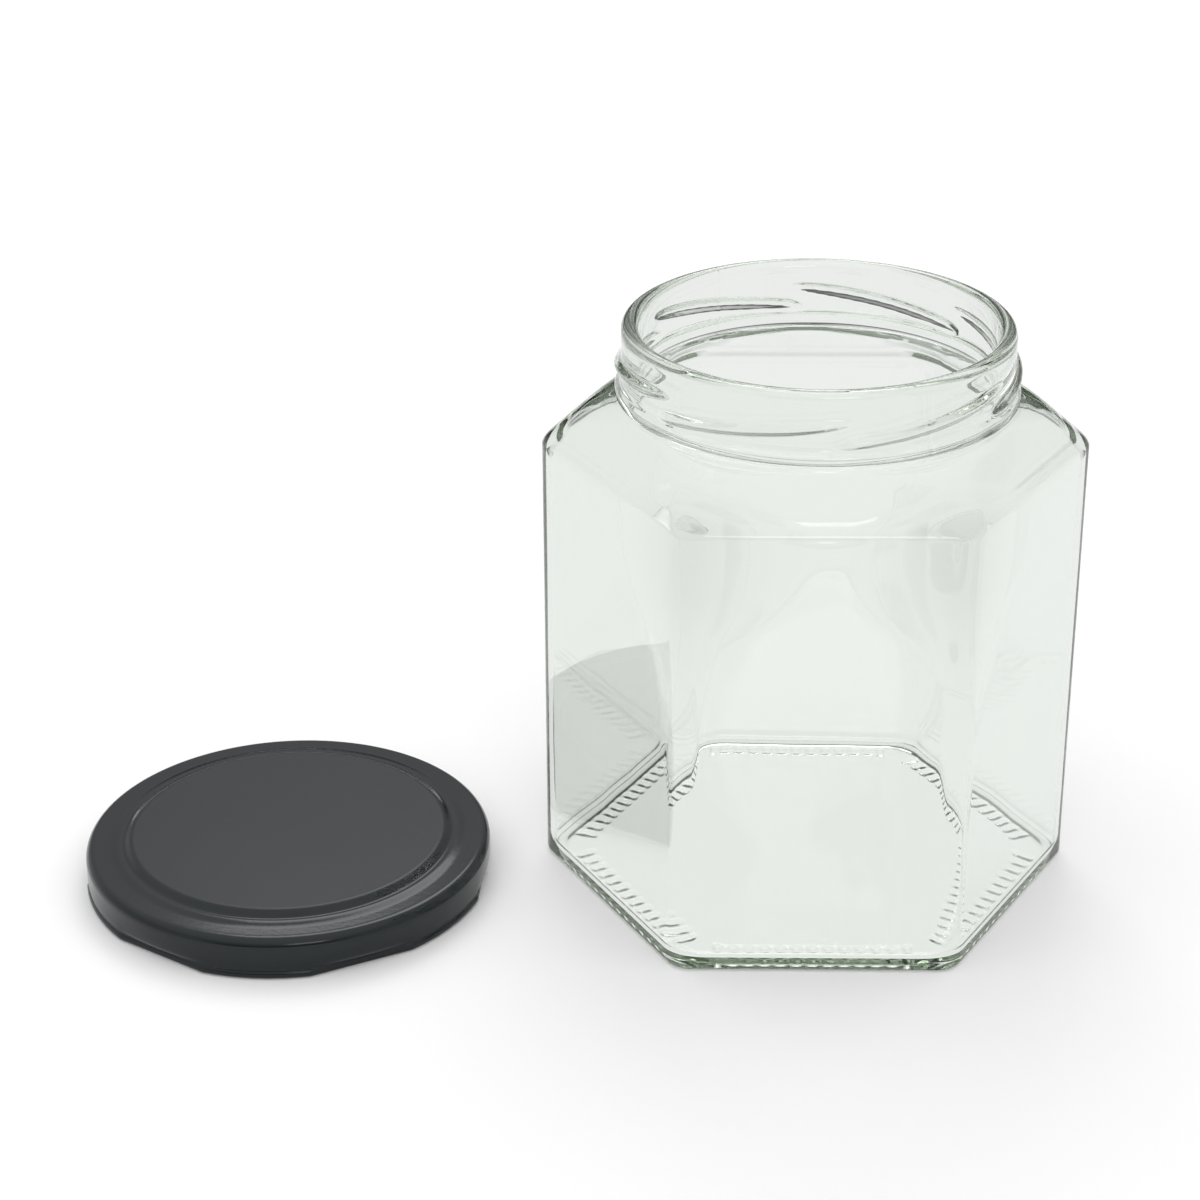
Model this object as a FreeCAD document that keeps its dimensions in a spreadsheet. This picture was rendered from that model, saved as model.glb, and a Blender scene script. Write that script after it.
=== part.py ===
import FreeCAD, Part
import math
import os
import Sketcher

# Six-sided glass honey jar with a twist-off finish, and its tinplate lid beside it.
# Millimetres, +Z up, origin at the middle of the jar's foot on the table.
# The jar's upright edges lie on +-X and every 60 degrees; two flats face +-Y.

SIZES = (
    # glass body
    ("jar_height", 120.0, "table to top of the lip"),
    ("across_flats", 96.4, "flat to opposite flat"),
    ("corner_radius", 6.0, "outside rounding of the six upright edges"),
    ("heel_radius", 0.7, "outside rounding between foot and wall"),
    ("wall", 2.3, "glass at the middle of a flat"),
    ("inner_corner", 5.4, "inside rounding of the upright edges"),
    ("floor_height", 1.4, "table to the inside floor"),
    ("floor_radius", 2.6, "inside rounding between floor and wall"),
    ("foot_width", 8.5, "flat bearing band inside the heel"),
    ("recess_depth", 0.6, "push-up under the foot"),
    ("recess_slope", 6.5, "width of the sloping band round the push-up"),
    # shoulder
    ("shoulder_climb", 9.7, "from the top of the flats to the neck"),
    ("shoulder_bend", 0.9, "height of the bend on either side of the top of the flats"),
    ("hollow_depth", 22.0, "below the shoulder, where the inside starts to grow round"),
    ("hollow_drop", 0.6, "inside bend below the outside one"),
    ("hollow_bend", 3.5, "height of the inside bend on either side of its middle"),
    # finish, the threaded mouth
    ("finish_height", 15.4, "neck root to lip"),
    ("neck_swell", 1.2, "neck root beyond the plain wall"),
    ("finish_diameter", 77.8, "plain wall between threads"),
    ("finish_wall", 3.5, "glass at the lip"),
    ("thread_reach", 1.3, "thread crest beyond the plain wall"),
    ("thread_width", 3.0, "height of one thread ridge"),
    ("thread_drop", 10.7, "lip to the middle of a thread at its low end"),
    ("thread_rise", 4.7, "climb of a thread"),
    ("thread_first", 36.0, "degrees, low end of the first thread"),
    ("thread_step", 55.0, "degrees between neighbouring low ends"),
    ("thread_span", 61.0, "degrees covered by a thread"),
    ("thread_last_span", 75.0, "degrees covered by the last thread of each half"),
    ("bead_drop", 14.0, "lip to the underside of the bead below the threads"),
    # lid
    ("tin", 0.3, "sheet thickness"),
    ("lid_clearance", 1.6, "lid wall to thread crest"),
    ("lid_rim_height", 9.4, "highest point of the outer ring"),
    ("panel_height", 10.4, "top of the raised panel"),
    ("ring_width", 9.5, "raised panel to the outside of the skirt"),
    ("panel_step", 1.5, "width of the step round the panel"),
    ("rim_fall", 0.5, "fall of the outer ring towards its edge"),
    ("lid_shoulder", 2.0, "rounding between ring and skirt"),
    ("curl_diameter", 2.1, "rolled edge"),
    ("curl_bulge", 0.5, "curl beyond the skirt"),
    ("lug_bite", 1.0, "lug inside the thread crest"),
    ("lug_length", 13.0, "lug along the rim"),
    ("lug_flat", 1.6, "curl pressed in at a lug"),
    ("lid_gap", 11.5, "lid to the nearest upright edge of the jar"),
    ("lid_y", -9.8, "lid centre in front of the jar's middle"),
    ("lid_turn", -3.0, "degrees, first lug from +X"),
)
LUGS = 6
HALVES = 2
THREADS_PER_HALF = 3

doc = FreeCAD.newDocument("honey_jar")
sheet = doc.addObject("Spreadsheet::Sheet", "sizes")
for row, (alias, number, note) in enumerate(SIZES, start=1):
    sheet.set("A%d" % row, alias)
    sheet.set("B%d" % row, str(number))
    sheet.set("C%d" % row, note)
    sheet.setAlias("B%d" % row, alias)
doc.recompute()


class Size:
    """A length with its number and the spreadsheet expression that gives it."""

    def __init__(self, number, text):
        self.number = number
        self.text = text

    def __add__(self, other):
        other = as_size(other)
        return Size(self.number + other.number, "(%s + %s)" % (self.text, other.text))

    def __sub__(self, other):
        other = as_size(other)
        return Size(self.number - other.number, "(%s - %s)" % (self.text, other.text))

    def __mul__(self, other):
        other = as_size(other)
        return Size(self.number * other.number, "(%s * %s)" % (self.text, other.text))

    def __truediv__(self, other):
        other = as_size(other)
        return Size(self.number / other.number, "(%s / %s)" % (self.text, other.text))


def as_size(value):
    if isinstance(value, Size):
        return value
    return Size(float(value), "%.6g" % value)


def size(alias):
    return Size(float(sheet.get(alias)), "sizes." + alias)


def origin_plane(body, role):
    for feature in body.Origin.OriginFeatures:
        if feature.Role == role:
            return feature
    raise ValueError("no origin plane " + role)


def new_sketch(body, name, role):
    sketch = body.newObject("Sketcher::SketchObject", name)
    sketch.AttachmentSupport = [(origin_plane(body, role), "")]
    sketch.MapMode = "FlatFace"
    return sketch


def dimension(sketch, amount, kind, *where):
    index = sketch.addConstraint(Sketcher.Constraint(kind, *where, amount.number))
    sketch.setExpression("Constraints[%d]" % index, amount.text)


def raise_sketch(sketch, height):
    sketch.AttachmentOffset = FreeCAD.Placement(
        FreeCAD.Vector(0, 0, height.number), FreeCAD.Rotation())
    sketch.setExpression("AttachmentOffset.Base.z", height.text)


def hexagon(body, name, apothem, radius, height):
    """Six flats at a stated apothem joined by six tangent corner arcs."""
    sketch = new_sketch(body, name, "XY_Plane")
    raise_sketch(sketch, height)
    flat = apothem.number
    bend = radius.number
    reach = (flat - bend) / math.cos(math.radians(30))
    half = (flat - bend) * math.tan(math.radians(30))
    for side in range(6):
        facing = math.radians(30 + 60 * side)
        out = FreeCAD.Vector(math.cos(facing), math.sin(facing), 0)
        along = FreeCAD.Vector(-math.sin(facing), math.cos(facing), 0)
        sketch.addGeometry(Part.LineSegment(out * flat - along * half, out * flat + along * half))
    for side in range(6):
        facing = math.radians(30 + 60 * side)
        corner = facing + math.radians(30)
        centre = FreeCAD.Vector(reach * math.cos(corner), reach * math.sin(corner), 0)
        circle = Part.Circle(centre, FreeCAD.Vector(0, 0, 1), bend)
        sketch.addGeometry(Part.ArcOfCircle(circle, facing, facing + math.radians(60)))
    for side in range(6):
        following = (side + 1) % 6
        sketch.addConstraint(Sketcher.Constraint("Tangent", side, 2, 6 + side, 1))
        sketch.addConstraint(Sketcher.Constraint("Tangent", 6 + side, 2, following, 1))
        dimension(sketch, apothem, "Distance", -1, 1, side)
    for side in range(1, 6):
        sketch.addConstraint(Sketcher.Constraint("Equal", 6, 6 + side))
    dimension(sketch, radius, "Radius", 6)
    for side in range(6):
        bearing = math.radians((120 + 60 * side) % 360)
        sketch.addConstraint(Sketcher.Constraint("Angle", side, bearing))
    return sketch


def outline(sketch, corners):
    """Closed chain through corners of (across, up, bend).

    bend is None for a straight edge to the next corner, or a signed radius:
    positive turns left along the chain, negative turns right.
    """
    edges = []
    count = len(corners)
    for number in range(count):
        across, up, bend = corners[number]
        across_next, up_next, _ = corners[(number + 1) % count]
        begin = FreeCAD.Vector(across.number, up.number, 0)
        end = FreeCAD.Vector(across_next.number, up_next.number, 0)
        if bend is None:
            index = sketch.addGeometry(Part.LineSegment(begin, end))
            edges.append((index, 1, 2))
            continue
        turn = 1 if bend[0] > 0 else -1
        radius = bend[1].number
        chord = end - begin
        rise = math.sqrt(max(radius ** 2 - chord.Length ** 2 / 4, 0.0))
        left = FreeCAD.Vector(-chord.y, chord.x, 0).normalize()
        centre = (begin + end) * 0.5 + left * (turn * rise)
        first, last = (begin, end) if turn > 0 else (end, begin)
        start = math.atan2(first.y - centre.y, first.x - centre.x)
        stop = math.atan2(last.y - centre.y, last.x - centre.x)
        if stop < start:
            stop += 2 * math.pi
        circle = Part.Circle(centre, FreeCAD.Vector(0, 0, 1), radius)
        index = sketch.addGeometry(Part.ArcOfCircle(circle, start, stop))
        edges.append((index, 1, 2) if turn > 0 else (index, 2, 1))
        dimension(sketch, bend[1], "Radius", index)
    for number in range(count):
        across, up, _ = corners[number]
        index, begin, _ = edges[number]
        before, _, end = edges[number - 1]
        sketch.addConstraint(Sketcher.Constraint("Coincident", before, end, index, begin))
        if abs(across.number) < 1e-9:
            sketch.addConstraint(Sketcher.Constraint("PointOnObject", index, begin, -2))
        else:
            dimension(sketch, across, "DistanceX", -1, 1, index, begin)
        if abs(up.number) < 1e-9:
            sketch.addConstraint(Sketcher.Constraint("PointOnObject", index, begin, -1))
        else:
            dimension(sketch, up, "DistanceY", -1, 1, index, begin)


def pad(body, name, sketch, length, kind="PartDesign::Pad"):
    feature = body.newObject(kind, name)
    feature.Profile = sketch
    feature.Length = length.number
    feature.setExpression("Length", length.text)
    doc.recompute()
    return feature


def loft(body, name, sections, kind="PartDesign::AdditiveLoft", ruled=True):
    feature = body.newObject(kind, name)
    feature.Profile = sections[0]
    feature.Sections = sections[1:]
    feature.Ruled = ruled
    doc.recompute()
    return feature


def turned(body, name, sketch, kind="PartDesign::Revolution"):
    feature = body.newObject(kind, name)
    feature.Profile = sketch
    feature.ReferenceAxis = (sketch, ["V_Axis"])
    feature.Angle = 360.0
    doc.recompute()
    return feature


def round_level_edges(body, name, base, height, radius):
    """Fillet every edge that lies flat at one height."""
    names = []
    for number, edge in enumerate(base.Shape.Edges, start=1):
        box = edge.BoundBox
        if abs(box.ZMin - height) < 1e-4 and abs(box.ZMax - height) < 1e-4:
            names.append("Edge%d" % number)
    feature = body.newObject("PartDesign::Fillet", name)
    feature.Base = (base, names)
    feature.Radius = radius.number
    feature.setExpression("Radius", radius.text)
    doc.recompute()
    return feature


def ring_of(body, name, originals, count):
    pattern = body.newObject("PartDesign::PolarPattern", name)
    pattern.Originals = originals
    axis = [item for item in body.Origin.OriginFeatures if item.Role == "Z_Axis"][0]
    pattern.Axis = (axis, [""])
    pattern.Angle = 360.0
    pattern.Occurrences = count
    body.Tip = pattern
    doc.recompute()
    return pattern


ZERO = as_size(0.0)

# --- glass jar ---------------------------------------------------------------
jar = doc.addObject("PartDesign::Body", "glass_jar")
jar.Label = "glass_jar"

flat = size("across_flats") / 2
bend = size("corner_radius")
inner_flat = flat - size("wall")
inner_bend = size("inner_corner")
floor = size("floor_height")
top = size("jar_height")
neck_root = top - size("finish_height")
turn_height = neck_root - size("shoulder_climb")
hollow_turn = turn_height - size("hollow_drop")
wall_top = hollow_turn - size("hollow_depth")

prism = pad(jar, "prism", hexagon(jar, "prism_outline", flat, bend, ZERO), wall_top)
heel = round_level_edges(jar, "heel", prism, 0.0, size("heel_radius"))
cavity = pad(jar, "cavity", hexagon(jar, "cavity_outline", inner_flat, inner_bend, wall_top),
             wall_top - floor, "PartDesign::Pocket")
floor_round = round_level_edges(jar, "floor_round", cavity, floor.number, size("floor_radius"))

# The shoulder leans in from the six flats in a straight slope with a short bend at its
# foot, and becomes round at the neck. Each level has the share of the way from the
# corner radius to a full circle: on the straight wall, at the middle and the end of
# the bend, and then with the share of the climb before it.
finish = size("finish_diameter") / 2
mouth = finish - size("finish_wall")
neck_flat = finish + size("neck_swell")
climb = size("shoulder_climb")
shoulder_bend = size("shoulder_bend")
WALL_ROUNDS = ((shoulder_bend, 0.0),)
WALL_BENDS = (0.03, 0.07)
WALL_SLOPE = ((0.3, 0.175), (0.5, 0.29), (0.7, 0.43), (0.86, 0.61), (1.0, 0.985))


def shoulder_levels(name, wide, narrow, corner, turn, climb, bend_height, starts, bends, levels):
    """Six-sided levels up the straight wall, round a bend and up a slope."""
    slope = (wide - narrow) / climb
    places = [(wide, wall_top, 0.0)]
    for below, rounder in starts:
        places.append((wide, turn - below, rounder))
    places.append((wide - slope * bend_height * 0.25, turn, bends[0]))
    places.append((wide - slope * bend_height, turn + bend_height, bends[1]))
    for up, rounder in levels:
        places.append((wide - (wide - narrow) * up, turn + climb * up, rounder))
    sections = []
    for number, (apothem, height, rounder) in enumerate(places):
        radius = corner + (narrow - corner) * rounder
        sections.append(hexagon(jar, "%s_%d" % (name, number), apothem, radius, height))
    return sections


shoulder = loft(jar, "shoulder", shoulder_levels(
    "shoulder", flat, neck_flat, bend, turn_height, climb,
    shoulder_bend, WALL_ROUNDS, WALL_BENDS, WALL_SLOPE))

# Finish: neck, bead, plain wall and rounded lip, turned about the jar's axis.
crest = finish + size("thread_reach")
lip = size("finish_wall") / 2
bead = top - size("bead_drop")
bead_out = crest - 0.1
neck_profile = new_sketch(jar, "neck_profile", "XZ_Plane")
outline(neck_profile, (
    (ZERO, neck_root - 1.0, None),
    (finish + 0.9, neck_root - 1.0, (-1, as_size(1.6))),
    (finish + 0.3, bead - 0.5, None),
    (bead_out, bead + 0.6, None),
    (bead_out, bead + 1.0, (1, as_size(4.0))),
    (finish, bead + 2.8, None),
    (finish, top - lip, (1, lip)),
    (finish - lip, top, None),
    (ZERO, top, None),
))
neck = turned(jar, "neck", neck_profile)

# Space inside the shoulder, then the bore of the mouth with the lip's inner half.
hollow_climb = climb * (inner_flat - mouth) / (flat - neck_flat)
hollow_bend = size("hollow_bend")
HOLLOW_ROUNDS = ((size("hollow_depth") * 0.64, 0.04), (hollow_bend * 1.7, 0.12), (hollow_bend, 0.19))
HOLLOW_BENDS = (0.29, 0.44)
HOLLOW_SLOPE = ((0.48, 0.59), (0.72, 0.82), (1.0, 0.985))
hollow = loft(jar, "hollow", shoulder_levels(
    "hollow", inner_flat, mouth + 0.1, inner_bend, hollow_turn, hollow_climb,
    hollow_bend, HOLLOW_ROUNDS, HOLLOW_BENDS, HOLLOW_SLOPE), "PartDesign::SubtractiveLoft")
bore_profile = new_sketch(jar, "bore_profile", "XZ_Plane")
outline(bore_profile, (
    (ZERO, neck_root - 3.0, None),
    (mouth, neck_root - 3.0, None),
    (mouth, top - lip, (-1, lip)),
    (mouth + lip, top, None),
    (mouth + lip, top + 2.0, None),
    (ZERO, top + 2.0, None),
))
bore = turned(jar, "bore", bore_profile, "PartDesign::Groove")

# Push-up under the foot leaves a flat six-sided bearing band.
recess_flat = flat - size("heel_radius") - size("foot_width")
recess_levels = [
    hexagon(jar, "recess_low", recess_flat, bend * 2, ZERO),
    hexagon(jar, "recess_high", recess_flat - size("recess_slope"), bend * 3, size("recess_depth")),
]
recess = loft(jar, "recess", recess_levels, "PartDesign::SubtractiveLoft")

# Threads: each ridge is lofted through upright sections that climb round the
# neck and fade out at both ends. Fade is the share of full height and width.
FADES = ((0.0, 0.12), (0.06, 0.62), (0.15, 0.96), (0.38, 1.0), (0.65, 1.0), (0.86, 0.8), (0.95, 0.45), (1.0, 0.1))
thread_low = top - size("thread_drop")
threads = []
for number in range(THREADS_PER_HALF):
    start = size("thread_first") + size("thread_step") * number
    span = size("thread_span") if number < THREADS_PER_HALF - 1 else size("thread_last_span")
    sections = []
    for place, (along, fade) in enumerate(FADES):
        turn = start + span * along
        sketch = new_sketch(jar, "thread_%d_%d" % (number, place), "XZ_Plane")
        sketch.AttachmentOffset = FreeCAD.Placement(
            FreeCAD.Vector(0, 0, 0), FreeCAD.Rotation(FreeCAD.Vector(0, 1, 0), turn.number))
        sketch.setExpression("AttachmentOffset.Rotation.Angle", "%s * 1 deg" % turn.text)
        middle = thread_low + size("thread_rise") * along
        half = size("thread_width") / 2 * (0.25 + 0.75 * fade)
        peak = finish + size("thread_reach") * fade
        outline(sketch, (
            (finish - 0.4, middle - half, None),
            (peak, middle - half * 0.35, None),
            (peak, middle + half * 0.35, None),
            (finish - 0.4, middle + half, None),
        ))
        sections.append(sketch)
    threads.append(loft(jar, "thread_%d" % number, sections, ruled=False))
thread_ring = ring_of(jar, "thread_ring", threads, HALVES)

# --- lid ---------------------------------------------------------------------
lid = doc.addObject("PartDesign::Body", "lid")
lid.Label = "lid"

tin = size("tin")
skirt_in = crest + size("lid_clearance")
skirt_out = skirt_in + tin
panel = skirt_out - size("ring_width")
panel_top = size("panel_height")
step = size("panel_step")
rim_top = size("lid_rim_height")
rim_low = rim_top - size("rim_fall")
lid_bend = size("lid_shoulder")
curl_bend = size("curl_diameter") / 2
sheet_profile = new_sketch(lid, "sheet_profile", "XZ_Plane")
outline(sheet_profile, (
    (ZERO, panel_top - tin, None),
    (panel - 0.1, panel_top - tin, None),
    (panel + step - 0.1, rim_top - tin, None),
    (skirt_out - lid_bend, rim_low - tin, (-1, lid_bend - tin)),
    (skirt_in, rim_low - lid_bend, None),
    (skirt_in, curl_bend, None),
    (skirt_out, curl_bend, None),
    (skirt_out, rim_low - lid_bend, (1, lid_bend)),
    (skirt_out - lid_bend, rim_low, None),
    (panel + step, rim_top, None),
    (panel, panel_top, None),
    (ZERO, panel_top, None),
))
shell = turned(lid, "shell", sheet_profile)

# Rolled edge: a round bead that stands a little outside the skirt.
curl_out = skirt_out + size("curl_bulge")
curl_centre = curl_out - curl_bend
curl_profile = new_sketch(lid, "curl_profile", "XZ_Plane")
outline(curl_profile, (
    (curl_centre, ZERO, (1, curl_bend)),
    (curl_out, curl_bend, (1, curl_bend)),
    (curl_centre, curl_bend * 2, (1, curl_bend)),
    (curl_centre - curl_bend, curl_bend, (1, curl_bend)),
))
curl = turned(lid, "curl", curl_profile)

# Six lugs: the curl is pressed in, so its outside goes flat and a tab stands inside.
lug_half = size("lug_length") / 2
lug_in = crest - size("lug_bite")
lug_out = curl_out - size("lug_flat")
lug_low = curl_bend * 0.2
lug_outline = new_sketch(lid, "lug_outline", "XY_Plane")
raise_sketch(lug_outline, lug_low)
outline(lug_outline, (
    (lug_in, lug_half * -0.8, None),
    (lug_out, lug_half * -1, None),
    (lug_out, lug_half, None),
    (lug_in, lug_half * 0.8, None),
))
lug = pad(lid, "lug", lug_outline, curl_bend * 1.6)
lug_ring = ring_of(lid, "lug_ring", [lug], LUGS)
press_outline = new_sketch(lid, "press_outline", "XY_Plane")
raise_sketch(press_outline, curl_bend * 1.5)
outline(press_outline, (
    (lug_out, lug_half * -2, None),
    (curl_out + 2, lug_half * -2, None),
    (curl_out + 2, lug_half * 2, None),
    (lug_out, lug_half * 2, None),
))
press = pad(lid, "press", press_outline, curl_bend * 1.5, "PartDesign::Pocket")
press_ring = ring_of(lid, "press_ring", [press], LUGS)

upright_edge = (flat - bend) / math.cos(math.radians(30)) + bend
lid_x = (upright_edge + size("lid_gap") + curl_out) * -1
lid_y = size("lid_y")
lid.Placement = FreeCAD.Placement(
    FreeCAD.Vector(lid_x.number, lid_y.number, 0),
    FreeCAD.Rotation(FreeCAD.Vector(0, 0, 1), size("lid_turn").number))
lid.setExpression("Placement.Base.x", lid_x.text)
lid.setExpression("Placement.Base.y", lid_y.text)
lid.setExpression("Placement.Rotation.Angle", size("lid_turn").text + " * 1 deg")

doc.recompute()
for item in doc.Objects:
    if "Invalid" in item.State or "Error" in item.State:
        raise RuntimeError("%s is not valid: %s" % (item.Label, item.State))

os.makedirs("parts", exist_ok=True)
for body in (jar, lid):
    shape = body.Shape
    if shape.isNull() or not shape.isValid() or len(shape.Solids) != 1:
        raise RuntimeError("%s has no single valid solid" % body.Label)
    box = shape.BoundBox
    print(body.Label, "volume cm3 %.2f" % (shape.Volume / 1000), "box", [
        round(value, 2) for value in (box.XMin, box.XMax, box.YMin, box.YMax, box.ZMin, box.ZMax)])
    shape.exportStep("parts/%s.step" % body.Label)
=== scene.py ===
import math

import bpy
import numpy as np
from mathutils import Matrix, Vector


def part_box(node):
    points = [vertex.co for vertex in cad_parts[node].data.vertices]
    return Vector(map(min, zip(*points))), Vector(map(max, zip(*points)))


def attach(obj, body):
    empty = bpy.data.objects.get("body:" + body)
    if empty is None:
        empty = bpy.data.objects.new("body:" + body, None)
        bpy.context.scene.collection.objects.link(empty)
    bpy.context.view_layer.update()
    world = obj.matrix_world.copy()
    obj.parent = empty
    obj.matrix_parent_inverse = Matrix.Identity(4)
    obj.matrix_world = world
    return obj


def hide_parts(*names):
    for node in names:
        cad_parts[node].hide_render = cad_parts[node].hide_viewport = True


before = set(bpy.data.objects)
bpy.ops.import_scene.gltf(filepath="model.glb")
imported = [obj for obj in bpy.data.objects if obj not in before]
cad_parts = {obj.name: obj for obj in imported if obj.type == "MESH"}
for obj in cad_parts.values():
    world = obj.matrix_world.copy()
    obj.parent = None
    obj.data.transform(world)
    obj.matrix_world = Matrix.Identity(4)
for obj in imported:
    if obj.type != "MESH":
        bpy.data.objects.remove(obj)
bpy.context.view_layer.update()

bl_info = {
    "name": "Six-sided Honey Jar",
    "version": (1, 0, 0),
    "blender": (4, 5, 0),
    "location": "View3D > Sidebar > Honey Jar",
    "description": "Six-sided glass honey jar with its black twist-off lid beside it",
    "category": "Add Mesh",
}

MM = 0.001
JAR_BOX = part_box("glass_jar")
LID_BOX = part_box("lid")
SIDES = 6


# --- numbers and meshes ------------------------------------------------------

def linear(code):
    """sRGB hex colour as linear red, green, blue and alpha 1."""
    channels = np.array([int(code[i:i + 2], 16) for i in (1, 3, 5)]) / 255.0
    low = channels / 12.92
    high = ((channels + 0.055) / 1.055) ** 2.4
    return tuple(float(c) for c in np.where(channels <= 0.04045, low, high)) + (1.0,)


def ease(value):
    """Smooth step: 0 below 0, 1 above 1, and 3v^2 - 2v^3 between."""
    v = np.clip(value, 0.0, 1.0)
    return v * v * (3.0 - 2.0 * v)


def through(x, knots, values):
    """Smooth curve through a few (knot, value) pairs: cubic pieces whose slope at
    each knot is the weighted harmonic mean of its neighbours' slopes, so the curve
    never swings past its values."""
    knots, values = np.asarray(knots, float), np.asarray(values, float)
    gap = np.diff(knots)
    rise = np.diff(values) / gap
    slope = np.concatenate(([rise[0]], np.zeros(len(knots) - 2), [rise[-1]]))
    same = rise[1:] * rise[:-1] > 0
    safe = np.where(same, rise[1:] * rise[:-1], 1.0)
    mean = 2.0 * safe / np.where(same, rise[1:] + rise[:-1], 1.0)
    slope[1:-1] = np.where(same, mean, 0.0)
    i = np.clip(np.searchsorted(knots, x, side="right") - 1, 0, len(gap) - 1)
    t = (x - knots[i]) / gap[i]
    a = (1 + 2 * t) * (1 - t) ** 2 * values[i] + t * (1 - t) ** 2 * gap[i] * slope[i]
    b = t * t * (3 - 2 * t) * values[i + 1] + t * t * (t - 1) * gap[i] * slope[i + 1]
    return a + b


def arc(centre_r, centre_z, radius, start, end, count):
    """Points (r, z) on a circle from one angle to another, in degrees from +r."""
    turn = np.radians(np.linspace(start, end, count))
    return np.stack([centre_r + radius * np.cos(turn),
                     centre_z + radius * np.sin(turn)], axis=1)


def run(start, end, count):
    """Points on a straight line, its first point left out."""
    share = np.linspace(0.0, 1.0, count + 1)[1:, None]
    return np.asarray(start) + share * (np.asarray(end) - np.asarray(start))


def closed_grid(name, x, y, z, first_pole, last_pole):
    """Mesh of a grid of rows that go once round an axis, with a point at either end.

    Row i, column j is the point (x, y, z)[i, j] in millimetres. Each row closes on
    itself, and the first and last rows are joined to their poles by triangles. The
    rows start on top, so that the faces point outwards.
    """
    rows, columns = x.shape
    body = np.stack([x, y, z], axis=2).reshape(-1, 3)
    points = np.vstack([body, [first_pole], [last_pole]]) * MM
    j = np.arange(columns)
    after = (j + 1) % columns
    i = np.arange(rows - 1)[:, None] * columns
    quads = np.stack([i + j, i + columns + j, i + columns + after, i + after], axis=2)
    quads = quads.reshape(-1, 4)
    low, high = rows * columns, rows * columns + 1
    start_fan = np.stack([np.full(columns, low), j, after], axis=1)
    last = (rows - 1) * columns
    end_fan = np.stack([np.full(columns, high), last + after, last + j], axis=1)
    faces = quads.tolist() + start_fan.tolist() + end_fan.tolist()
    mesh = bpy.data.meshes.new(name)
    mesh.from_pydata(points.tolist(), [], faces)
    mesh.polygons.foreach_set("use_smooth", np.ones(len(mesh.polygons), dtype=bool))
    mesh.update()
    piece = bpy.data.objects.new(name, mesh)
    bpy.context.scene.collection.objects.link(piece)
    return piece


def put_in_place(name):
    """Remove an earlier copy of a piece, so that an operator can run again."""
    old = bpy.data.objects.get(name)
    if old is not None:
        bpy.data.objects.remove(old, do_unlink=True)


# --- node helper -------------------------------------------------------------

def node(tree, kind, links=(), **settings):
    """Add a node; settings are its properties, or its inputs when they name one.

    Spaces in a socket's name are written as underscores, and links are pairs of a
    socket name or number and the output that feeds it.
    """
    item = tree.nodes.new(kind)
    for key, value in settings.items():
        socket = item.inputs.get(key.replace("_", " ")) if not hasattr(item, key) else None
        if socket is not None:
            socket.default_value = value
        else:
            setattr(item, key, value)
    for target, source in links:
        tree.links.new(source, item.inputs[target])
    return item


def new_material(name):
    material = bpy.data.materials.get(name)
    if material is not None:
        bpy.data.materials.remove(material)
    material = bpy.data.materials.new(name)
    material.use_nodes = True
    material.node_tree.nodes.clear()
    return material, material.node_tree


# --- sizes a user would change -----------------------------------------------

def length(name, description, default):
    """A length property in metres, from millimetres."""
    return bpy.props.FloatProperty(name=name, description=description, default=default * MM,
                                   min=0.0, unit="LENGTH", precision=4)


def tone(name, description, code):
    return bpy.props.FloatVectorProperty(name=name, description=description, size=4,
                                         subtype="COLOR", min=0.0, max=1.0, default=linear(code))


class HONEYJAR_PG_glass(bpy.types.PropertyGroup):
    height: length("Height", "Table to top of the lip", JAR_BOX[1][2] / MM)
    across_flats: length("Across flats", "Flat to opposite flat", 96.4)
    corner_radius: length("Corner radius", "Rounding of the upright edges", 6.0)
    heel_radius: length("Heel radius", "Rounding between foot and wall", 1.5)
    wall: length("Wall", "Glass at the middle of a flat", 2.3)
    inner_corner: length("Inside corner radius", "Rounding inside the upright edges", 5.4)
    floor_height: length("Floor height", "Table to the inside floor at the heel", 2.2)
    floor_radius: length("Floor radius", "Inside rounding between floor and wall", 3.0)
    recess_depth: length("Push-up", "Depth of the recess under the foot", 0.3)
    shoulder_climb: length("Shoulder climb", "Top of the flats to the neck", 9.7)
    finish_height: length("Finish height", "Neck root to lip", 15.4)
    finish_diameter: length("Finish diameter", "Plain wall between the threads", 77.8)
    finish_wall: length("Finish wall", "Glass at the lip", 3.5)
    thread_reach: length("Thread reach", "Thread crest beyond the plain wall", 1.3)
    thread_width: length("Thread width", "Height of one thread ridge", 3.0)
    thread_drop: length("Thread drop", "Lip to a thread's low end", 10.7)
    thread_rise: length("Thread rise", "Climb of a thread", 4.7)
    bead_drop: length("Bead drop", "Lip to the underside of the bead", 14.0)
    knurl_pitch: length("Knurl pitch", "Ridge to ridge under the foot", 3.2)
    knurl_depth: length("Knurl depth", "Height of the ridges under the foot", 0.3)
    edge_tone: tone("Edge colour", "What a thick edge of the glass lets through", "#9aae90")
    tint_depth: bpy.props.FloatProperty(name="Tint", description="Absorption per metre of glass",
                                        default=22.0, min=0.0)


class HONEYJAR_PG_lid(bpy.types.PropertyGroup):
    curl_diameter: length("Outside diameter", "Across the rolled edge", 85.2)
    panel_height: length("Panel height", "Top of the raised panel", LID_BOX[1][2] / MM)
    ring_height: length("Ring height", "Highest point of the outer ring", 9.4)
    ring_width: length("Ring width", "Raised panel to the outside of the skirt", 9.5)
    tin: length("Tinplate", "Sheet thickness", 0.3)
    lug_length: length("Lug length", "Flat of a lug along the rim", 22.0)
    turn: bpy.props.FloatProperty(name="Turn", description="First lug from +X",
                                  default=math.radians(-3.0), subtype="ANGLE")
    lacquer: tone("Lacquer", "Black lacquer", "#091215")


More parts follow.
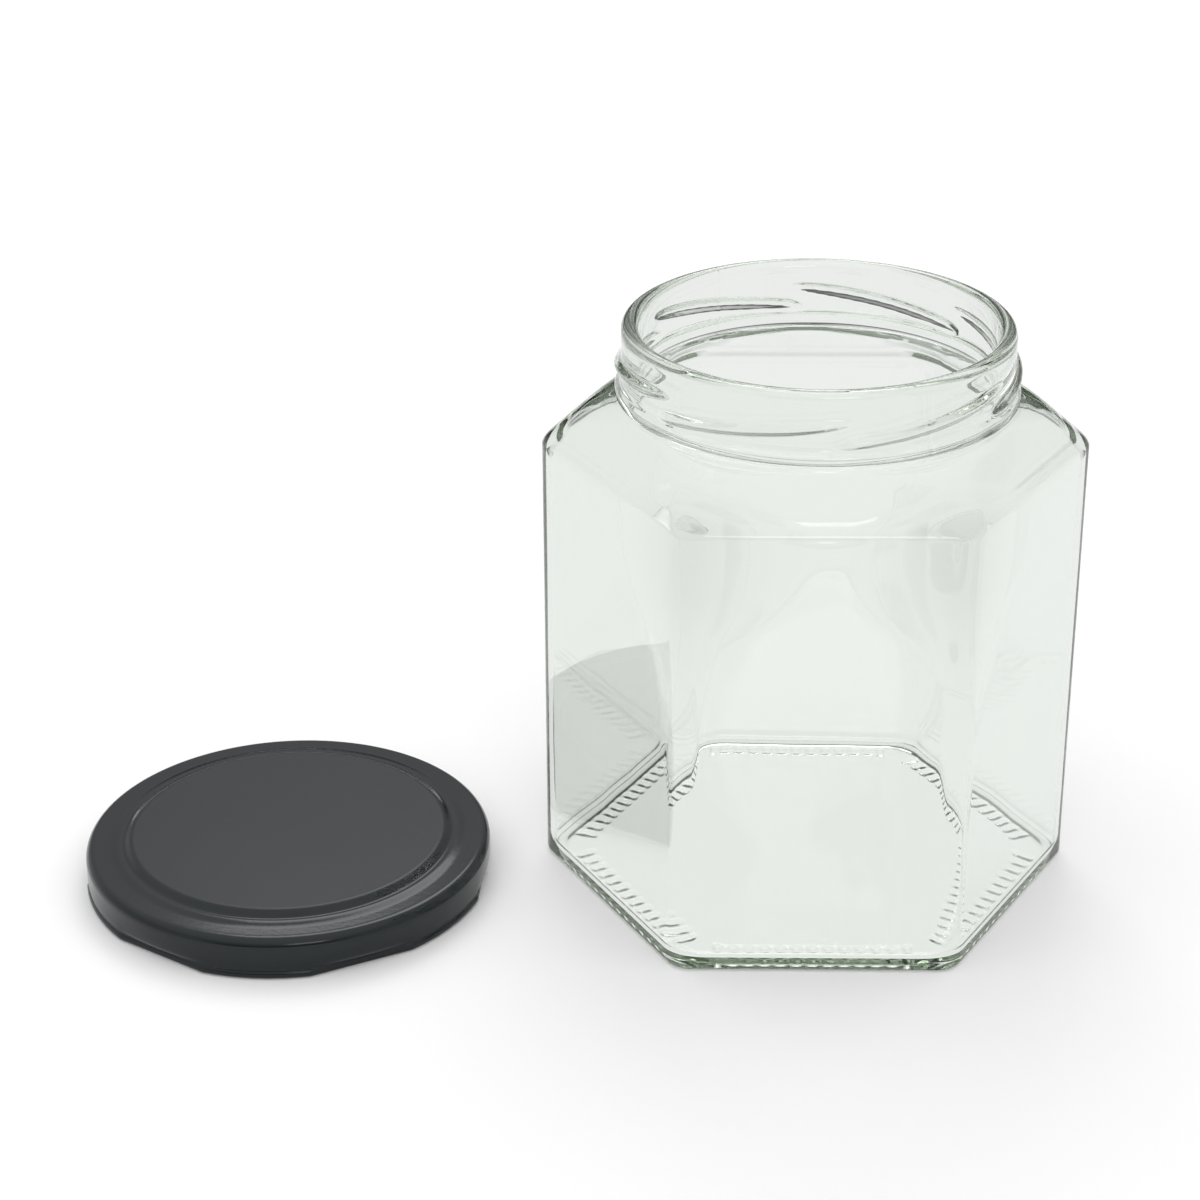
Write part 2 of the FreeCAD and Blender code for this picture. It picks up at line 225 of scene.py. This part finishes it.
class HONEYJAR_PG_stage(bpy.types.PropertyGroup):
    lens: bpy.props.FloatProperty(name="Lens",
                                  description="Focal length in millimetres on a 36 mm sensor",
                                  default=85.5, min=1.0)
    pitch: bpy.props.FloatProperty(name="Look down", description="Camera pitch below level",
                                   default=math.radians(25.69), subtype="ANGLE")
    bearing: bpy.props.FloatProperty(name="Bearing", description="Camera turned to the left of +Y",
                                     default=math.radians(1.24), subtype="ANGLE")
    roll: bpy.props.FloatProperty(name="Roll", description="Camera rolled clockwise",
                                  default=math.radians(0.3), subtype="ANGLE")
    paper: tone("Paper", "Floor and sweep", "#f4f4f4")
    softbox: bpy.props.FloatProperty(name="Softbox", description="Power of the lamp behind",
                                     default=2.4, min=0.0, subtype="POWER")
    room: bpy.props.FloatProperty(name="Room", description="Light from the room",
                                  default=1.0, min=0.0)


# --- glass jar ---------------------------------------------------------------

# The shoulder: share of the climb, and share of the way from the corner radius to a
# full circle.
SHOULDER_UP = (0.0, 0.14, 0.47, 0.78, 1.0)
SHOULDER_ROUND = (0.0, 0.06, 0.24, 0.48, 1.0)
# The same for the inside, as millimetres above its own turn: it starts lower down.
INNER_ABOVE = (-22.0, -14.0, -6.0, 0.0, 6.0, 12.0)
INNER_ROUND = (0.0, 0.0, 0.01, 0.06, 0.28, 1.0)
# The two upright edges in front got more glass under the shoulder: millimetres above
# the inside turn, and how far the inside edge stands beyond the inside flat there.
THICK_ABOVE = (-40.0, -25.0, -14.0, -8.0, 0.0, 4.0, 7.0, 10.0, 12.6)
THICK_BEYOND = (6.27, 4.6, 1.1, 0.2, 0.1, -1.2, -4.2, -8.2, -10.5)
THREAD_STARTS = (36.0, 91.0, 146.0, 216.0, 271.0, 326.0)
THREAD_SPANS = (61.0, 61.0, 75.0, 61.0, 61.0, 75.0)
THREAD_ALONG = (0.0, 0.03, 0.10, 0.38, 0.65, 0.86, 0.95, 1.0)
THREAD_FADE = (0.0, 0.45, 0.96, 1.0, 1.0, 0.75, 0.4, 0.0)
SEAM_ANGLES = (119.7, 299.7)
# Rows of the inside floor, as shares of its radius from the wall inwards, and its crown
# in millimetres.
FLOOR_ROWS = (0.975, 0.95, 0.9, 0.84, 0.77, 0.7, 0.55, 0.35, 0.15)
FLOOR_CROWN = 0.4
# Inside the heel the rounding runs for so many degrees at its full radius, and then
# tightens to a share of it.
HEEL_TURN = 40
HEEL_TIGHT = 0.15
# Ridge along each mould seam: its height and half width, in millimetres and degrees.
SEAM_RIDGE = 0.09
SEAM_HALF = 0.45


def six_sided_angles():
    """Azimuths round the jar in degrees: close together over each upright edge,
    where the wall turns, and 0.74 degrees apart over the flats, where the knurl is."""
    flat = np.linspace(-24.4, 24.4, 67)
    edge = np.linspace(24.4, 35.6, 25)[1:-1]
    side = np.concatenate([flat, edge])
    return np.concatenate([side + 30.0 + 60.0 * number for number in range(SIDES)])


def six_sided_radius(angle, apothem, corner):
    """Distance from the axis to a rounded hexagon at an azimuth, in degrees.

    On a flat it is apothem / cos(a), with a measured from the flat's middle. Past the
    end of the flat it is the far side of a circle of the corner radius, whose centre
    lies (apothem - corner) / cos(30) out on the edge's bearing. A corner radius equal
    to the apothem gives a circle.
    """
    a = np.radians(np.abs((angle % 60.0) - 30.0))
    centre = (apothem - corner) / math.cos(math.radians(30))
    beside = np.radians(30.0) - a
    on_flat = np.tan(a) * apothem <= (apothem - corner) * math.tan(math.radians(30))
    inside = np.maximum(corner ** 2 - (centre * np.sin(beside)) ** 2, 0.0)
    return np.where(on_flat, apothem / np.cos(a), centre * np.cos(beside) + np.sqrt(inside))


def bent(height, start, slope, blend):
    """Way in at a height: none below the start, a straight slope above it, and a
    parabola between them over the blend on either side."""
    x = height - start
    return slope * np.where(x < blend, np.maximum(x + blend, 0.0) ** 2 / (4 * blend), x)


def jar_profile(p):
    """Rows of the jar from the middle of the foot, up the outside, over the lip and
    down the inside to the middle of the floor, given back in the opposite order. Each
    row is (apothem, height, corner radius, zone, corner radius at the thick edges), in
    millimetres; the zone says which relief the row carries."""
    mm = 1.0 / MM
    top, flat, bend = p.height * mm, p.across_flats * mm / 2, p.corner_radius * mm
    heel, knurl = p.heel_radius * mm, p.knurl_depth * mm
    finish = p.finish_diameter * mm / 2
    mouth = finish - p.finish_wall * mm
    crest = finish + p.thread_reach * mm
    root = top - p.finish_height * mm
    turn = root - p.shoulder_climb * mm
    inner, inner_bend = flat - p.wall * mm, p.inner_corner * mm
    floor, round_floor = p.floor_height * mm, p.floor_radius * mm
    recess = flat - 9.2
    up = p.recess_depth * mm

    def rows(points, corner, zone, thick=None):
        points = np.atleast_2d(points)
        corner = np.broadcast_to(corner, len(points))
        thick = corner if thick is None else thick
        return np.column_stack([points, corner, np.full(len(points), zone), thick])

    def inside_round(height):
        above = np.clip(height - inner_turn, INNER_ABOVE[0], INNER_ABOVE[-1])
        return through(above, INNER_ABOVE, INNER_ROUND)

    def thick_corner(apothem, height):
        above = np.clip(height - inner_turn, THICK_ABOVE[0], THICK_ABOVE[-1])
        reach = inner + through(above, THICK_ABOVE, THICK_BEYOND)
        to_edge = 1.0 / math.cos(math.radians(30))
        return np.clip((apothem * to_edge - reach) / (to_edge - 1.0), inner_bend, apothem)

    parts = []
    middle = run((6.0, up), (recess - 7.0, up), 4)
    parts.append(rows(middle, middle[:, 0] * 0.5, 0))
    slope_r = np.linspace(recess - 6.0, recess, 7)
    slope_z = up - (up - knurl) * ease((slope_r - recess + 6.5) / 6.5)
    parts.append(rows(np.column_stack([slope_r, slope_z]), np.linspace(17.0, 14.0, 7), 0))
    band_r = np.linspace(recess + 0.3, recess + 5.2, 11)
    band_z = knurl * (1.0 - ease((band_r - recess - 4.4) / 0.7))
    parts.append(rows(np.column_stack([band_r, band_z]), np.linspace(13.5, 8.0, 11), 1))
    curve = np.vstack([(flat - heel - 1.5, 0.0), arc(flat - heel, heel, heel, -90, 0, 8)])
    parts.append(rows(curve, np.maximum(curve[:, 0] - flat + bend, 4.0), 0))
    parts.append(rows(run((flat, heel), (flat, turn - 1.4), 8), bend, 2))
    neck = finish + 1.2
    slope = (flat - neck) / (root - turn)
    height = np.concatenate([np.linspace(turn - 1.1, turn + 1.1, 9),
                             np.linspace(turn + 1.8, root, 12)])
    apothem = flat - bent(height, turn, slope, 0.9)
    rounder = through(np.clip((height - turn + 0.9) / (root - turn + 0.9), 0, 1),
                      SHOULDER_UP, SHOULDER_ROUND)
    parts.append(rows(np.column_stack([apothem, height]), bend + (neck - bend) * rounder, 2))
    bead = top - p.bead_drop * mm
    outside = np.vstack([
        (finish + 0.8, root + 0.1), (finish + 0.5, root + 0.28), (finish + 0.3, root + 0.55),
        (finish + 0.22, bead - 0.8), (finish + 0.26, bead - 0.62), (finish + 0.36, bead - 0.45),
        (finish + 0.61, bead - 0.42), (finish + 0.86, bead - 0.39), (finish + 1.11, bead - 0.36),
        (crest - 0.12, bead - 0.16), (crest - 0.1, bead + 0.04), (crest - 0.1, bead + 1.0),
        (crest - 0.35, bead + 1.5), (crest - 0.75, bead + 2.0), (crest - 1.1, bead + 2.5),
    ])
    parts.append(rows(outside, outside[:, 0], 3))
    lip = p.finish_wall * mm / 2
    wall = run((finish, bead + 2.7), (finish, top - lip), 25)
    parts.append(rows(wall, finish, 4))
    over = arc(finish - lip, top - lip, lip, 0, 180, 15)[1:]
    parts.append(rows(over, over[:, 0], 5))
    inner_turn = turn - 0.6
    inner_root = inner_turn + (inner - mouth) / slope
    bore = run((mouth, top - lip), (mouth, inner_root + 1.1), 5)
    parts.append(rows(bore, mouth, 5))
    height = np.concatenate([np.linspace(inner_root + 0.8, inner_root - 1.2, 7),
                             np.linspace(inner_root - 2.0, inner_turn + 2.0, 10),
                             np.linspace(inner_turn + 1.5, inner_turn - 4.0, 9)])
    apothem = np.where(height < (inner_turn + inner_root) / 2,
                       inner - bent(height, inner_turn, slope, 3.5),
                       mouth + bent(inner_root * 2 - height, inner_root, slope, 0.8))
    rounder = inside_round(height)
    parts.append(rows(np.column_stack([apothem, height]),
                      inner_bend + (apothem - inner_bend) * rounder, 6,
                      thick_corner(apothem, height)))
    height = np.concatenate([np.linspace(inner_turn - 6.0, inner_turn - 22.0, 7),
                             np.linspace(inner_turn - 28.0, floor + round_floor + 0.6, 7)])
    straight = np.full(len(height), inner)
    rounder = inside_round(height)
    fuller = ease((floor + 16.0 - height) / 12.0)
    parts.append(rows(np.column_stack([straight, height]),
                      inner_bend + (inner - inner_bend) * rounder + fuller, 6,
                      thick_corner(straight, height) + fuller))
    tight = round_floor * HEEL_TIGHT
    turned = math.radians(HEEL_TURN)
    low_r = inner - round_floor * (1 - math.cos(turned)) - tight * math.cos(turned)
    low_z = floor + tight
    high_z = low_z - tight * math.sin(turned) + round_floor * math.sin(turned)
    hollow = np.vstack([arc(inner - round_floor, high_z, round_floor, 0, -HEEL_TURN, 9),
                        arc(low_r, low_z, tight, -HEEL_TURN, -88, 6)[1:]])
    share = (inner - hollow[:, 0]) / round_floor
    parts.append(rows(hollow, (inner_bend + 1.0) * (1 - share) + 11.0 * share, 6))
    floor_r = (inner - round_floor) * np.array(FLOOR_ROWS)
    crown = FLOOR_CROWN * ease((inner - round_floor - floor_r) / 30.0)
    parts.append(rows(np.column_stack([floor_r, floor + crown]), 11.0 * floor_r / inner * 1.1, 7))
    return np.vstack(parts)[::-1], up, floor + FLOOR_CROWN


def thread_relief(p, angle, height):
    """Outward relief of the six thread ridges.

    A ridge climbs from its low end in proportion to the angle. Across it the relief
    is the squared cosine of the distance from its middle over its half width, and
    both its reach and its width fade towards the ends.
    """
    mm = 1.0 / MM
    relief = np.zeros(np.broadcast(angle, height).shape)
    low = (p.height - p.thread_drop) * mm
    for start, span in zip(THREAD_STARTS, THREAD_SPANS):
        along = ((angle - start) % 360.0) / span
        fade = np.where(along < 1.0, through(np.clip(along, 0, 1), THREAD_ALONG, THREAD_FADE), 0.0)
        middle = low + p.thread_rise * mm * along
        half = p.thread_width * mm / 2 * (0.3 + 0.7 * fade) + 0.25
        across = np.clip(np.abs(height - middle) / half, 0.0, 1.0)
        ridge = p.thread_reach * mm * fade * np.cos(across * math.pi / 2) ** 2
        relief = np.maximum(relief, ridge)
    return relief


def knurl_relief(p, angle, apothem, radius):
    """Downward relief of the short ridges under the foot: a row of rounded teeth
    along each flat, one every knurl pitch, which stop 20 mm from the flat's middle."""
    mm = 1.0 / MM
    beside = radius * np.sin(np.radians((angle % 60.0) - 30.0))
    tooth = np.cos(beside / (p.knurl_pitch * mm) * 2 * math.pi) * 0.5 + 0.5
    reach = ease((20.2 - np.abs(beside)) / 0.8)
    ends = ease((apothem - 39.2) / 0.9) * ease((43.4 - apothem) / 0.9)
    return p.knurl_depth * mm * tooth ** 0.8 * reach * ends


def hand_ripple(angle, height, amount):
    """Slight waves of pressed and blown glass: sines of azimuth and height whose
    lengths are 15 to 60 mm, so that straight lines seen through it waver."""
    a = np.radians(angle)
    wave = (np.sin(3 * a + height * 0.11) * 0.5 + np.sin(7 * a - height * 0.07 + 1.3) * 0.3
            + np.sin(11 * a + height * 0.19 + 0.4) * 0.2
            + np.sin(5 * a + height * 0.31 + 2.1) * 0.15)
    return amount * wave


def make_jar(p):
    """Closed glass surface: radius(azimuth, row) is a rounded hexagon of the row's
    apothem and corner radius, with threads, seams, ripple and knurl added to it."""
    profile, foot_pole, floor_pole = jar_profile(p)
    angle = six_sided_angles()[None, :]
    apothem, height, corner, zone, thick = (profile[:, k][:, None] for k in range(5))
    radius = six_sided_radius(angle, apothem, corner)
    front = ease((-np.sin(np.radians(angle)) - 0.25) / 0.5)
    radius = radius + (six_sided_radius(angle, apothem, thick) - radius) * front
    z = np.repeat(height, angle.shape[1], axis=1)
    z = z - np.where(zone == 1, knurl_relief(p, angle, apothem, radius), 0.0)
    radius = radius + np.where((zone == 3) | (zone == 4), thread_relief(p, angle, height), 0.0)
    for seam in SEAM_ANGLES:
        off = (angle - seam + 180.0) % 360.0 - 180.0
        ridge = SEAM_RIDGE * np.exp(-(off / SEAM_HALF) ** 2)
        radius = radius + np.where((zone == 3) | (zone == 4), ridge, 0.0)
    inner_height = np.clip((height - 6.0) / 20.0, 0, 1) * np.clip((102.0 - height) / 15.0, 0, 1)
    radius = radius + np.where(zone == 6, hand_ripple(angle, height, 0.12) * inner_height, 0.0)
    radius = radius + np.where(zone == 2, hand_ripple(angle + 40.0, height, 0.025) - 0.06, 0.0)
    x = radius * np.cos(np.radians(angle))
    y = radius * np.sin(np.radians(angle))
    return closed_grid("glass_jar_blown", x, y, z, (0, 0, floor_pole), (0, 0, foot_pole))


def flint_glass(p):
    """Flint glass, pressed and blown: clear with a smooth fire-polished skin. Iron in
    the sand turns it faint green, which only shows where the eye looks along the
    wall. Fine settle waves in the skin bend highlights a little."""
    material, tree = new_material("flint_glass")
    place = node(tree, "ShaderNodeTexCoord")
    wave = node(tree, "ShaderNodeTexNoise", [("Vector", place.outputs["Object"])],
                Scale=55.0, Detail=1.0, Roughness=0.4)
    skin = node(tree, "ShaderNodeBump", [("Height", wave.outputs["Fac"])],
                Strength=0.05, Distance=0.0006)
    glass = node(tree, "ShaderNodeBsdfPrincipled", [("Normal", skin.outputs["Normal"])],
                 Base_Color=linear("#fdfffd"), Roughness=0.0, IOR=1.52, Transmission_Weight=1.0)
    tint = node(tree, "ShaderNodeVolumeAbsorption", Color=tuple(p.edge_tone), Density=p.tint_depth)
    node(tree, "ShaderNodeOutputMaterial",
         [("Surface", glass.outputs[0]), ("Volume", tint.outputs[0])])
    return material


class HONEYJAR_OT_jar(bpy.types.Operator):
    """Make the six-sided glass jar"""
    bl_idname = "honeyjar.jar"
    bl_label = "Glass Jar"

    def execute(self, context):
        put_in_place("glass_jar_blown")
        p = context.scene.honey_jar_glass
        piece = make_jar(p)
        piece.data.materials.append(flint_glass(p))
        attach(piece, "root")
        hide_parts("glass_jar")
        return {"FINISHED"}


# --- lid ---------------------------------------------------------------------

# Millimetres: how far the made lid keeps inside its solid, how far the rolled rim
# stands proud of the skirt, and the rims' and the shoulder edge's radii.
LID_CLEAR = 0.01
CURL_PROUD = 0.25
CURL_RADIUS = 0.95
EDGE_RADIUS = 2.0
# Share of a lug's press that reaches each row of the skirt, from the top down.
PRESS_DOWN = (0.0, 0.0, 0.04, 0.12, 0.3)
LUGS = 6


def lid_profile(p):
    """Rows (radius, height, share pressed in at a lug) of the lid, from the middle of
    the panel over the edge, round the rolled rim and back under the panel."""
    mm = 1.0 / MM
    out, tin = p.curl_diameter * mm / 2 - LID_CLEAR, p.tin * mm
    top, ring = p.panel_height * mm, p.ring_height * mm
    skirt = out - CURL_PROUD
    panel = skirt - p.ring_width * mm
    centre = out - CURL_RADIUS

    def sheet(drop):
        """Panel, step and ring, as heights over the radius."""
        r = np.concatenate([[4.0, 10.0, 16.0, 22.0, 27.0, 30.5], np.linspace(31.8, 35.0, 17),
                            np.linspace(35.3, skirt - EDGE_RADIUS - 0.05, 16)])
        fall = (top - ring) * ease((r - panel + 0.5) / 2.4)
        dish = 0.05 * np.exp(-((r - panel - 1.9) / 0.5) ** 2)
        slope = 0.42 * ease((r - 35.2) / 2.4) + 0.08 * np.clip((r - 37.5) / 2.5, 0, 1)
        return np.column_stack([r, top - fall - dish - slope - drop, np.zeros(len(r))])

    low = sheet(0.0)[-1, 1]
    edge_r, edge_z = skirt - EDGE_RADIUS, low - EDGE_RADIUS
    over = arc(edge_r, edge_z, EDGE_RADIUS, 88, 0, 14)
    skirt_rows = run((skirt, edge_z), (skirt, 2.6), 5)
    rim = arc(centre, CURL_RADIUS, CURL_RADIUS, 56, -285, 34)
    back = run((skirt - tin, 2.3), (skirt - tin, edge_z), 5)
    under = arc(edge_r, edge_z, EDGE_RADIUS - tin, 0, 88, 10)
    press = np.concatenate([PRESS_DOWN, np.ones(len(rim)), PRESS_DOWN[::-1]])
    middle = np.column_stack([np.vstack([skirt_rows, rim, back]), press])
    return np.vstack([
        sheet(0.0),
        np.column_stack([over, np.zeros(len(over))]),
        middle,
        np.column_stack([under, np.zeros(len(under))]),
        sheet(tin)[::-1],
    ]), top, top - tin


def make_lid(p):
    """Pressed tinplate lid: its profile turned about its own axis, with the rolled rim
    pressed straight along a chord at each of its six lugs."""
    mm = 1.0 / MM
    rows, top, under = lid_profile(p)
    cx = (LID_BOX[0][0] + LID_BOX[1][0]) / 2 / MM
    cy = (LID_BOX[0][1] + LID_BOX[1][1]) / 2 / MM
    angle = np.linspace(0.0, 360.0, 361)[None, :-1]
    r, z, press = (rows[:, k][:, None] for k in range(3))
    turn = math.degrees(p.turn)
    step = 360.0 / LUGS
    beside = (angle - turn + step / 2) % step - step / 2
    out = rows[:, 0].max()
    half = p.lug_length * mm / 2 / out
    flat = out * math.cos(half) / np.cos(np.radians(np.clip(beside, -20.0, 20.0)))
    radius = r - np.clip(out - flat, 0.0, None) * press
    z = np.repeat(z, angle.shape[1], axis=1)
    x = cx + radius * np.cos(np.radians(angle))
    y = cy + radius * np.sin(np.radians(angle))
    return closed_grid("lid_pressed", x, y, z, (cx, cy, top), (cx, cy, under))


def black_lacquer(p):
    """Stoved black lacquer on tinplate: near-black and glossy, with the faint
    orange peel of a rolled-on coat and a slightly silkier panel than rim."""
    material, tree = new_material("black_lacquer")
    place = node(tree, "ShaderNodeTexCoord")
    peel = node(tree, "ShaderNodeTexNoise", [("Vector", place.outputs["Object"])],
                Scale=900.0, Detail=2.0, Roughness=0.5)
    cloud = node(tree, "ShaderNodeTexNoise", [("Vector", place.outputs["Object"])],
                 Scale=38.0, Detail=3.0, Roughness=0.5)
    shade = node(tree, "ShaderNodeMix", [("Factor", cloud.outputs["Fac"])], data_type="RGBA")
    shade.inputs[6].default_value = tuple(p.lacquer)
    shade.inputs[7].default_value = tuple(c * 1.35 for c in p.lacquer[:3]) + (1.0,)
    high = node(tree, "ShaderNodeSeparateXYZ", [("Vector", place.outputs["Object"])])
    panel = p.panel_height
    silk = node(tree, "ShaderNodeMapRange", [("Value", high.outputs["Z"])],
                From_Min=panel - 0.0005, From_Max=panel - 0.0001, To_Min=0.11, To_Max=0.26)
    gloss = node(tree, "ShaderNodeMath", [(0, cloud.outputs["Fac"]), (2, silk.outputs["Result"])],
                 operation="MULTIPLY_ADD")
    gloss.inputs[1].default_value = 0.06
    skin = node(tree, "ShaderNodeBump", [("Height", peel.outputs["Fac"])],
                Strength=0.12, Distance=0.0001)
    lacquer = node(tree, "ShaderNodeBsdfPrincipled",
                   [("Base Color", shade.outputs[2]), ("Roughness", gloss.outputs[0]),
                    ("Normal", skin.outputs["Normal"])], IOR=1.42)
    node(tree, "ShaderNodeOutputMaterial", [("Surface", lacquer.outputs[0])])
    return material


class HONEYJAR_OT_lid(bpy.types.Operator):
    """Make the black twist-off lid that lies beside the jar"""
    bl_idname = "honeyjar.lid"
    bl_label = "Lid"

    def execute(self, context):
        put_in_place("lid_pressed")
        p = context.scene.honey_jar_lid
        piece = make_lid(p)
        piece.data.materials.append(black_lacquer(p))
        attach(piece, "root")
        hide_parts("lid")
        return {"FINISHED"}


# --- stage -------------------------------------------------------------------

# What the paper adds for the eye and in reflections, its level through the glass, and
# how far it lies below the foot in metres.
PAPER_LIFT = 0.08
GROUND_LEVEL = 0.89
PAPER_GAP = 0.00005


def white_paper(p):
    """Matt white paper. Seen by the eye or in a reflection it is lifted by what its own
    colour keeps back, and through the glass it is an even white ground."""
    material, tree = new_material("white_paper")
    path = node(tree, "ShaderNodeLightPath")
    seen = node(tree, "ShaderNodeMath", [(0, path.outputs["Is Camera Ray"]),
                                         (1, path.outputs["Is Glossy Ray"])], operation="MAXIMUM")
    lift = node(tree, "ShaderNodeMath", [(0, seen.outputs[0])], operation="MULTIPLY")
    lift.inputs[1].default_value = PAPER_LIFT
    paper = node(tree, "ShaderNodeBsdfDiffuse", Color=tuple(p.paper))
    glow = node(tree, "ShaderNodeEmission", [("Strength", lift.outputs[0])], Color=(1, 1, 1, 1))
    both = node(tree, "ShaderNodeAddShader", [(0, paper.outputs[0]), (1, glow.outputs[0])])
    ground = node(tree, "ShaderNodeEmission", Color=(1, 1, 1, 1), Strength=GROUND_LEVEL)
    shown = node(tree, "ShaderNodeMixShader", [(0, path.outputs["Is Transmission Ray"]),
                                               (1, both.outputs[0]), (2, ground.outputs[0])])
    node(tree, "ShaderNodeOutputMaterial", [("Surface", shown.outputs[0])])
    return material


def make_floor():
    """Level sheet of paper, a hair below the foot and the lid's rim."""
    side = np.linspace(-8.0, 8.0, 9)
    x, y = np.meshgrid(side, side)
    grid = np.stack([x, y, np.full(x.shape, -PAPER_GAP)], axis=2)
    columns = len(side)
    i = np.arange(columns - 1)[:, None] * columns
    j = np.arange(columns - 1)
    faces = np.stack([i + j, i + j + 1, i + columns + j + 1, i + columns + j], axis=2)
    faces = faces.reshape(-1, 4)
    mesh = bpy.data.meshes.new("paper_floor")
    mesh.from_pydata(grid.reshape(-1, 3).tolist(), [], faces.tolist())
    mesh.update()
    floor = bpy.data.objects.new("paper_floor", mesh)
    bpy.context.scene.collection.objects.link(floor)
    return floor


def add_lamp(name, place, aim, size, power):
    """Rectangular softbox that faces a point."""
    lamp = bpy.data.lights.new(name, "AREA")
    lamp.shape = "RECTANGLE"
    lamp.size, lamp.size_y = size
    lamp.energy = power
    holder = bpy.data.objects.new(name, lamp)
    holder.location = place
    holder.rotation_euler = (Vector(aim) - Vector(place)).to_track_quat("-Z", "Y").to_euler()
    bpy.context.scene.collection.objects.link(holder)
    return holder


# Where the camera stands, in metres from the middle of the jar's foot.
CAMERA_PLACE = (-0.03179, -0.52818, 0.31307)


def make_camera(p):
    """Camera in front of the jar, looking down on it, with its axes from the bearing,
    the pitch and the roll."""
    level = Vector((-math.sin(p.bearing), math.cos(p.bearing), 0.0))
    right = Vector((math.cos(p.bearing), math.sin(p.bearing), 0.0))
    ahead = level * math.cos(p.pitch) - Vector((0, 0, 1)) * math.sin(p.pitch)
    up = level * math.sin(p.pitch) + Vector((0, 0, 1)) * math.cos(p.pitch)
    up_rolled = up * math.cos(p.roll) + right * math.sin(p.roll)
    right_rolled = right * math.cos(p.roll) - up * math.sin(p.roll)
    camera = bpy.data.objects.new("camera", bpy.data.cameras.new("camera"))
    camera.data.lens = p.lens
    camera.data.sensor_width = 36.0
    camera.matrix_world = (Matrix.Translation(Vector(CAMERA_PLACE))
                           @ Matrix((right_rolled, up_rolled, -ahead)).transposed().to_4x4())
    bpy.context.scene.collection.objects.link(camera)
    bpy.context.scene.camera = camera


# Height of the direction of view as its sine, and the room's brightness there: dark
# walls low down beyond the paper, and a pale ceiling.
ROOM = ((0.0, 0.06), (0.11, 0.08), (0.22, 0.45), (0.43, 0.62), (0.70, 1.05), (1.0, 1.2))
# Brightness of the pale walls on either side.
SIDE_WALLS = 0.80


def room_light(p):
    """A room round the paper: dim low down in front and behind, pale at the sides and
    from half way up."""
    world = bpy.data.worlds.new("room")
    world.use_nodes = True
    tree = world.node_tree
    tree.nodes.clear()
    way = node(tree, "ShaderNodeTexCoord")
    split = node(tree, "ShaderNodeSeparateXYZ", [("Vector", way.outputs["Generated"])])
    ramp = node(tree, "ShaderNodeValToRGB", [("Fac", split.outputs["Z"])])
    for stop, (place, level) in enumerate(ROOM):
        if stop > 0:
            ramp.color_ramp.elements.new(place)
        ramp.color_ramp.elements[stop].position = place
        ramp.color_ramp.elements[stop].color = (level, level, level, 1.0)
    across = node(tree, "ShaderNodeMath", [(0, split.outputs["X"])], operation="ABSOLUTE")
    side = node(tree, "ShaderNodeMapRange", [("Value", across.outputs[0])],
                From_Min=0.35, From_Max=0.70, To_Max=SIDE_WALLS, interpolation_type="SMOOTHSTEP")
    pale = node(tree, "ShaderNodeMath", [(0, ramp.outputs["Color"]), (1, side.outputs["Result"])],
                operation="MAXIMUM")
    glow = node(tree, "ShaderNodeBackground", [("Color", pale.outputs[0])], Strength=p.room)
    node(tree, "ShaderNodeOutputWorld", [("Surface", glow.outputs[0])])
    bpy.context.scene.world = world


# Power of the lamp in front as a share of the one behind.
FRONT_SHARE = 0.6


class HONEYJAR_OT_stage(bpy.types.Operator):
    """Set out the paper floor, the softboxes, the room light and the camera"""
    bl_idname = "honeyjar.stage"
    bl_label = "Stage"

    def execute(self, context):
        for name in ("paper_floor", "softbox_back", "softbox_front", "camera"):
            put_in_place(name)
        p = context.scene.honey_jar_stage
        floor = make_floor()
        floor.data.materials.append(white_paper(p))
        middle = (-0.05, 0.0, 0.0)
        add_lamp("softbox_back", (-0.05, 0.85, 0.95), middle, (0.6, 0.5), p.softbox)
        add_lamp("softbox_front", (0.25, -1.35, 0.78), middle, (0.5, 0.3), p.softbox * FRONT_SHARE)
        room_light(p)
        make_camera(p)
        context.scene.view_settings.view_transform = "Standard"
        # Light runs on inside the glass of the heel and the lip for dozens of reflections.
        cycles = context.scene.cycles
        cycles.max_bounces = 80
        cycles.glossy_bounces = 72
        cycles.transmission_bounces = 32
        return {"FINISHED"}


# --- panel and registration --------------------------------------------------

class HONEYJAR_PT_panel(bpy.types.Panel):
    """Buttons and sizes of the honey jar"""
    bl_idname = "HONEYJAR_PT_panel"
    bl_label = "Honey Jar"
    bl_space_type = "VIEW_3D"
    bl_region_type = "UI"
    bl_category = "Honey Jar"

    def draw(self, context):
        layout = self.layout
        scene = context.scene
        for operator, group in (("honeyjar.jar", scene.honey_jar_glass),
                                ("honeyjar.lid", scene.honey_jar_lid),
                                ("honeyjar.stage", scene.honey_jar_stage)):
            box = layout.box()
            box.operator(operator)
            for key in group.__annotations__:
                box.prop(group, key)


CLASSES = (
    HONEYJAR_PG_glass,
    HONEYJAR_PG_lid,
    HONEYJAR_PG_stage,
    HONEYJAR_OT_jar,
    HONEYJAR_OT_lid,
    HONEYJAR_OT_stage,
    HONEYJAR_PT_panel,
)


def register():
    for item in CLASSES:
        bpy.utils.register_class(item)
    bpy.types.Scene.honey_jar_glass = bpy.props.PointerProperty(type=HONEYJAR_PG_glass)
    bpy.types.Scene.honey_jar_lid = bpy.props.PointerProperty(type=HONEYJAR_PG_lid)
    bpy.types.Scene.honey_jar_stage = bpy.props.PointerProperty(type=HONEYJAR_PG_stage)


def unregister():
    del bpy.types.Scene.honey_jar_stage
    del bpy.types.Scene.honey_jar_lid
    del bpy.types.Scene.honey_jar_glass
    for item in reversed(CLASSES):
        bpy.utils.unregister_class(item)


def main():
    register()
    bpy.ops.honeyjar.jar()
    bpy.ops.honeyjar.lid()
    bpy.ops.honeyjar.stage()


if __name__ == "__main__":
    main()
